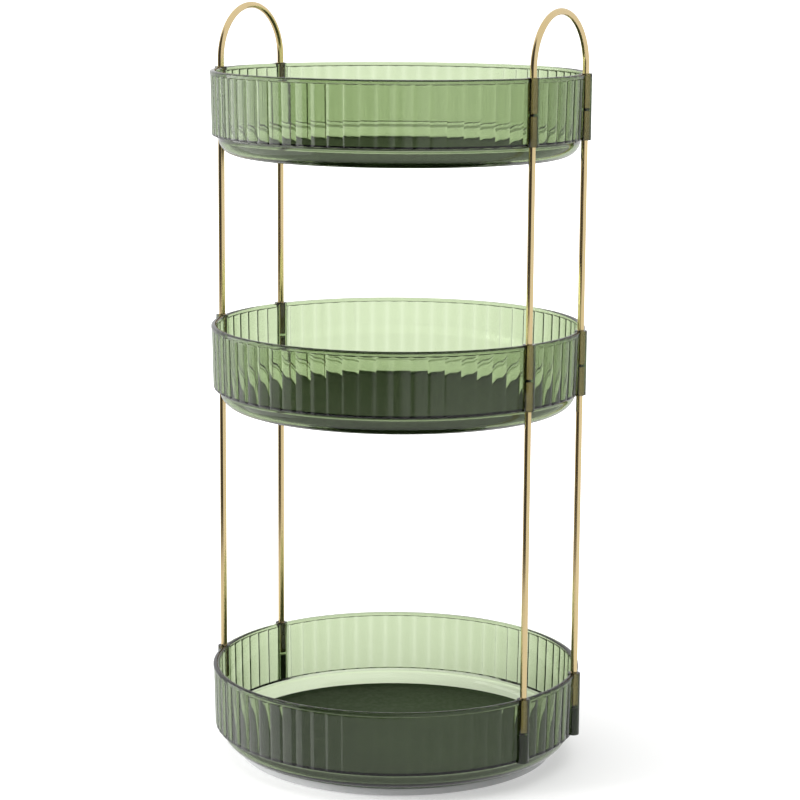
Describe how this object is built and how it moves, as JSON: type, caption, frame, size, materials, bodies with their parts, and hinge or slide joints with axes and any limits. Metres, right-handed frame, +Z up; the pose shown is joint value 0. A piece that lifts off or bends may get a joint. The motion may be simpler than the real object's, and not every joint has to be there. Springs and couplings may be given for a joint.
{
  "type": "rotating makeup organizer",
  "caption": "Three-tier rotating makeup organizer with round reeded see-through green trays on slim gold rods, arched carrying handles and a low turntable base.",
  "frame": {"origin": "centre of the footprint, on the surface that the feet stand on", "axes": "+Z up along the turning axis, the two handles at +X and -X, the front looks along -Y"},
  "size_m": [0.23, 0.23, 0.4653],
  "materials": {
    "green_plastic": "clear tinted, polished",
    "gold": "polished gold plating",
    "base_plastic": "satin pale grey",
    "retainer_plastic": "plain moulded",
    "steel": "bright zinc",
    "rubber": "matt"
  },
  "bodies": {
    "base": {"base_plate": "base_plastic", "rubber_foot_1": "rubber", "rubber_foot_2": "rubber", "rubber_foot_3": "rubber", "rubber_foot_4": "rubber"},
    "ball_ring": {"ball_retainer": "retainer_plastic", "bearing_ball_01": "steel", "bearing_ball_02": "steel", "bearing_ball_03": "steel", "bearing_ball_04": "steel", "bearing_ball_05": "steel", "bearing_ball_06": "steel", "bearing_ball_07": "steel", "bearing_ball_08": "steel"},
    "turntable": {"bottom_tray": "green_plastic", "middle_tray": "green_plastic", "top_tray": "green_plastic", "pivot_screw": "steel", "pivot_washer": "steel", "lower_rod_right_front": "gold", "lower_rod_right_rear": "gold", "lower_rod_left_rear": "gold", "lower_rod_left_front": "gold", "upper_rod_right_front": "gold", "upper_rod_right_rear": "gold", "upper_rod_left_rear": "gold", "upper_rod_left_front": "gold", "right_handle": "gold", "left_handle": "gold"}
  },
  "joints": [
    {"name": "turntable_spin", "type": "hinge", "parent": "base", "child": "turntable", "pos_m": [0, 0, 0.0064], "axis": [0, 0, 1], "continuous": true},
    {"name": "ball_ring_roll", "type": "hinge", "parent": "base", "child": "ball_ring", "pos_m": [0, 0, 0.0048], "axis": [0, 0, 1], "continuous": true}
  ],
  "couplings": [
    {"joint": "ball_ring_roll", "follows": "turntable_spin", "ratio": 0.5}
  ]
}
